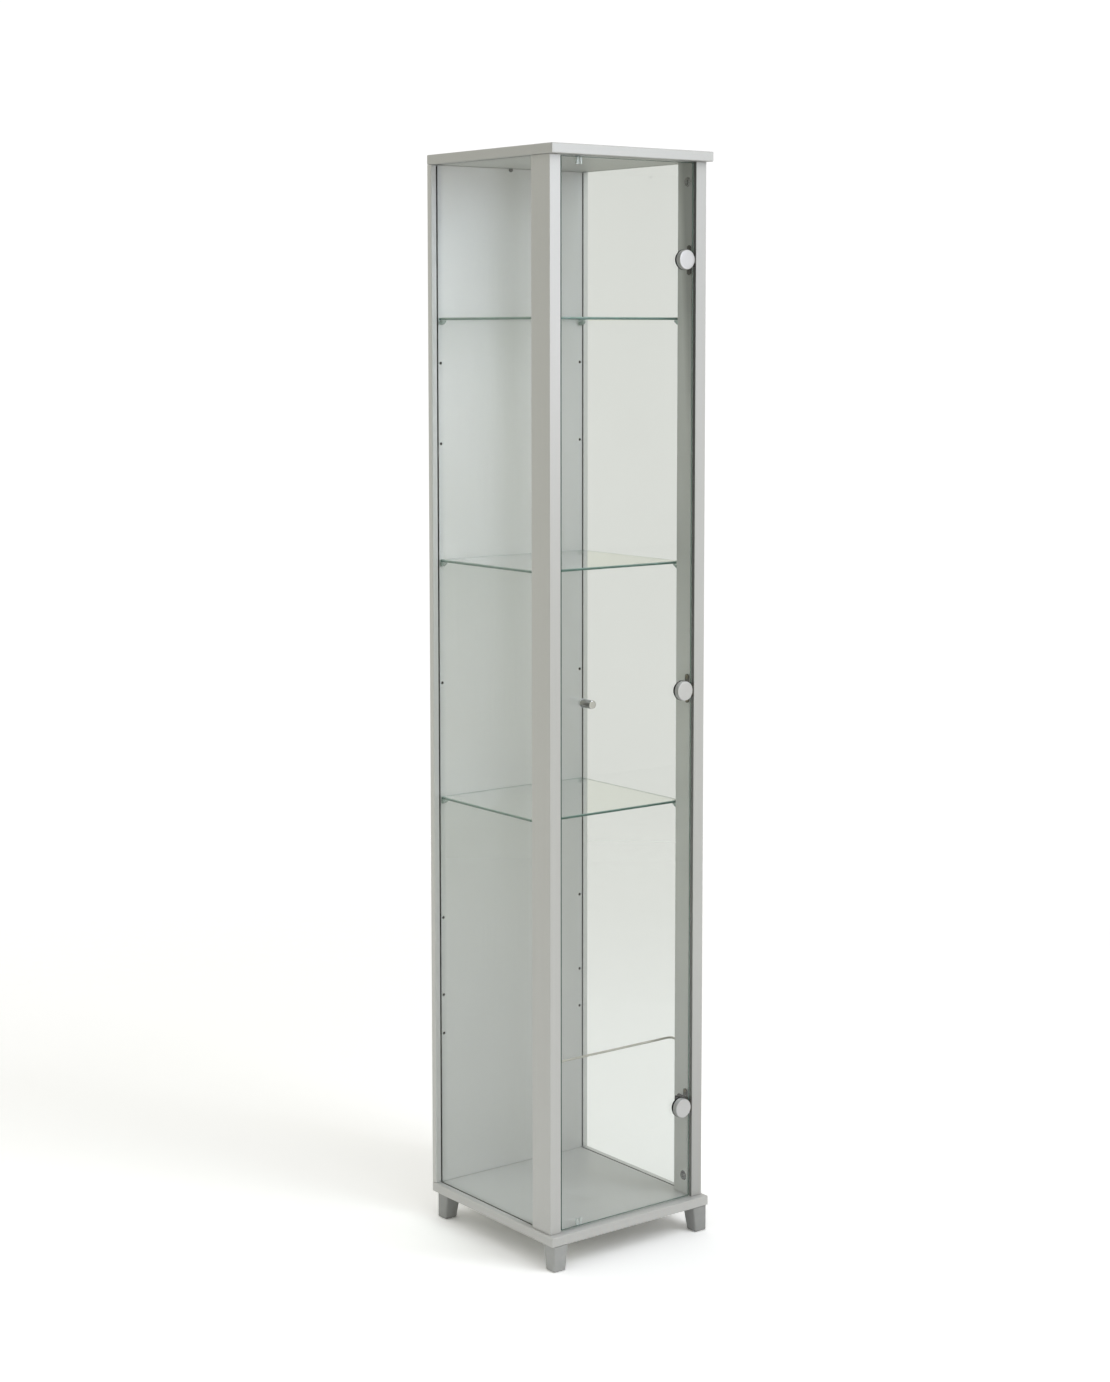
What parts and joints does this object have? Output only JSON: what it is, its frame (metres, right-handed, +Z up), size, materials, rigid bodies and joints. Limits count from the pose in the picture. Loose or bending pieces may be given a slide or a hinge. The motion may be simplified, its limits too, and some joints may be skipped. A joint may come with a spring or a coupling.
{
  "type": "glass display showcase",
  "caption": "Tall narrow free-standing display case: silver boards and posts, glass sides, hinged glass door with a knob, glass shelves on pins, and short tapered feet.",
  "frame": {"origin": "under the middle of the whole object's box (knob included), on the floor the feet stand on", "axes": "+X to the right along the door side, +Y from the door towards the back panel, +Z up"},
  "size_m": [0.315, 0.3352, 1.718],
  "materials": {
    "silver_board": "chipboard wrapped in satin silver-grey foil",
    "clear_glass": "clear float glass with polished green-tinted edges",
    "satin_nickel": "satin nickel plate",
    "chrome": "polished chrome plate",
    "silver_cap": "matt silver plated cap",
    "black_plastic": "black moulded plastic",
    "grey_plastic": "dark silver-grey moulded plastic",
    "clear_plastic": "translucent clear moulded plastic",
    "zinc_steel": "zinc-plated steel"
  },
  "bodies": {
    "cabinet": {"base_board": "silver_board", "top_board": "silver_board", "back_panel": "silver_board", "left_post": "silver_board", "right_post": "silver_board", "back_panel_connector": "black_plastic", "left_pane": "clear_glass", "cam_lock_left_top": "zinc_steel", "cam_lock_left_bottom": "zinc_steel", "right_pane": "clear_glass", "cam_lock_right_top": "zinc_steel", "cam_lock_right_bottom": "zinc_steel", "shelf_pin_top_rear_left": "clear_plastic", "shelf_pin_top_rear_right": "clear_plastic", "shelf_pin_top_front_left": "clear_plastic", "shelf_pin_top_front_right": "clear_plastic", "hinge_top_plate": "satin_nickel", "hinge_top_pin": "zinc_steel", "hinge_top_screw_upper": "zinc_steel", "hinge_top_screw_lower": "zinc_steel", "shelf_pin_middle_rear_left": "clear_plastic", "shelf_pin_middle_rear_right": "clear_plastic", "shelf_pin_middle_front_left": "clear_plastic", "shelf_pin_middle_front_right": "clear_plastic", "hinge_middle_plate": "satin_nickel", "hinge_middle_pin": "zinc_steel", "hinge_middle_screw_upper": "zinc_steel", "hinge_middle_screw_lower": "zinc_steel", "shelf_pin_bottom_rear_left": "clear_plastic", "shelf_pin_bottom_rear_right": "clear_plastic", "shelf_pin_bottom_front_left": "clear_plastic", "shelf_pin_bottom_front_right": "clear_plastic", "hinge_bottom_plate": "satin_nickel", "hinge_bottom_pin": "zinc_steel", "hinge_bottom_screw_upper": "zinc_steel", "hinge_bottom_screw_lower": "zinc_steel", "tie_rod": "satin_nickel", "foot_front_left": "grey_plastic", "foot_front_right": "grey_plastic", "foot_rear_left": "grey_plastic", "foot_rear_right": "grey_plastic", "door_stop_top": "clear_plastic", "door_stop_bottom": "clear_plastic"},
    "door": {"hinge_top_cap": "silver_cap", "hinge_top_grommet": "black_plastic", "hinge_top_clamp": "satin_nickel", "hinge_middle_cap": "silver_cap", "hinge_middle_grommet": "black_plastic", "hinge_middle_clamp": "satin_nickel", "hinge_bottom_cap": "silver_cap", "hinge_bottom_grommet": "black_plastic", "hinge_bottom_clamp": "satin_nickel", "door_glass": "clear_glass", "knob": "chrome", "knob_washer": "clear_plastic", "knob_screw": "zinc_steel"},
    "shelf_top": {"shelf_top": "clear_glass"},
    "shelf_middle": {"shelf_middle": "clear_glass"},
    "shelf_bottom": {"shelf_bottom": "clear_glass"}
  },
  "joints": [
    {"name": "door_hinge", "type": "hinge", "parent": "cabinet", "child": "door", "pos_m": [0.1296, -0.14515, 0.879], "axis": [0, 0, 1], "range_deg": [0, 95]},
    {"name": "shelf_top_lift", "type": "slide", "parent": "cabinet", "child": "shelf_top", "axis": [0, 0, 1], "range_m": [0, 0.1]},
    {"name": "shelf_middle_lift", "type": "slide", "parent": "cabinet", "child": "shelf_middle", "axis": [0, 0, 1], "range_m": [0, 0.1]},
    {"name": "shelf_bottom_lift", "type": "slide", "parent": "cabinet", "child": "shelf_bottom", "axis": [0, 0, 1], "range_m": [0, 0.1]}
  ]
}
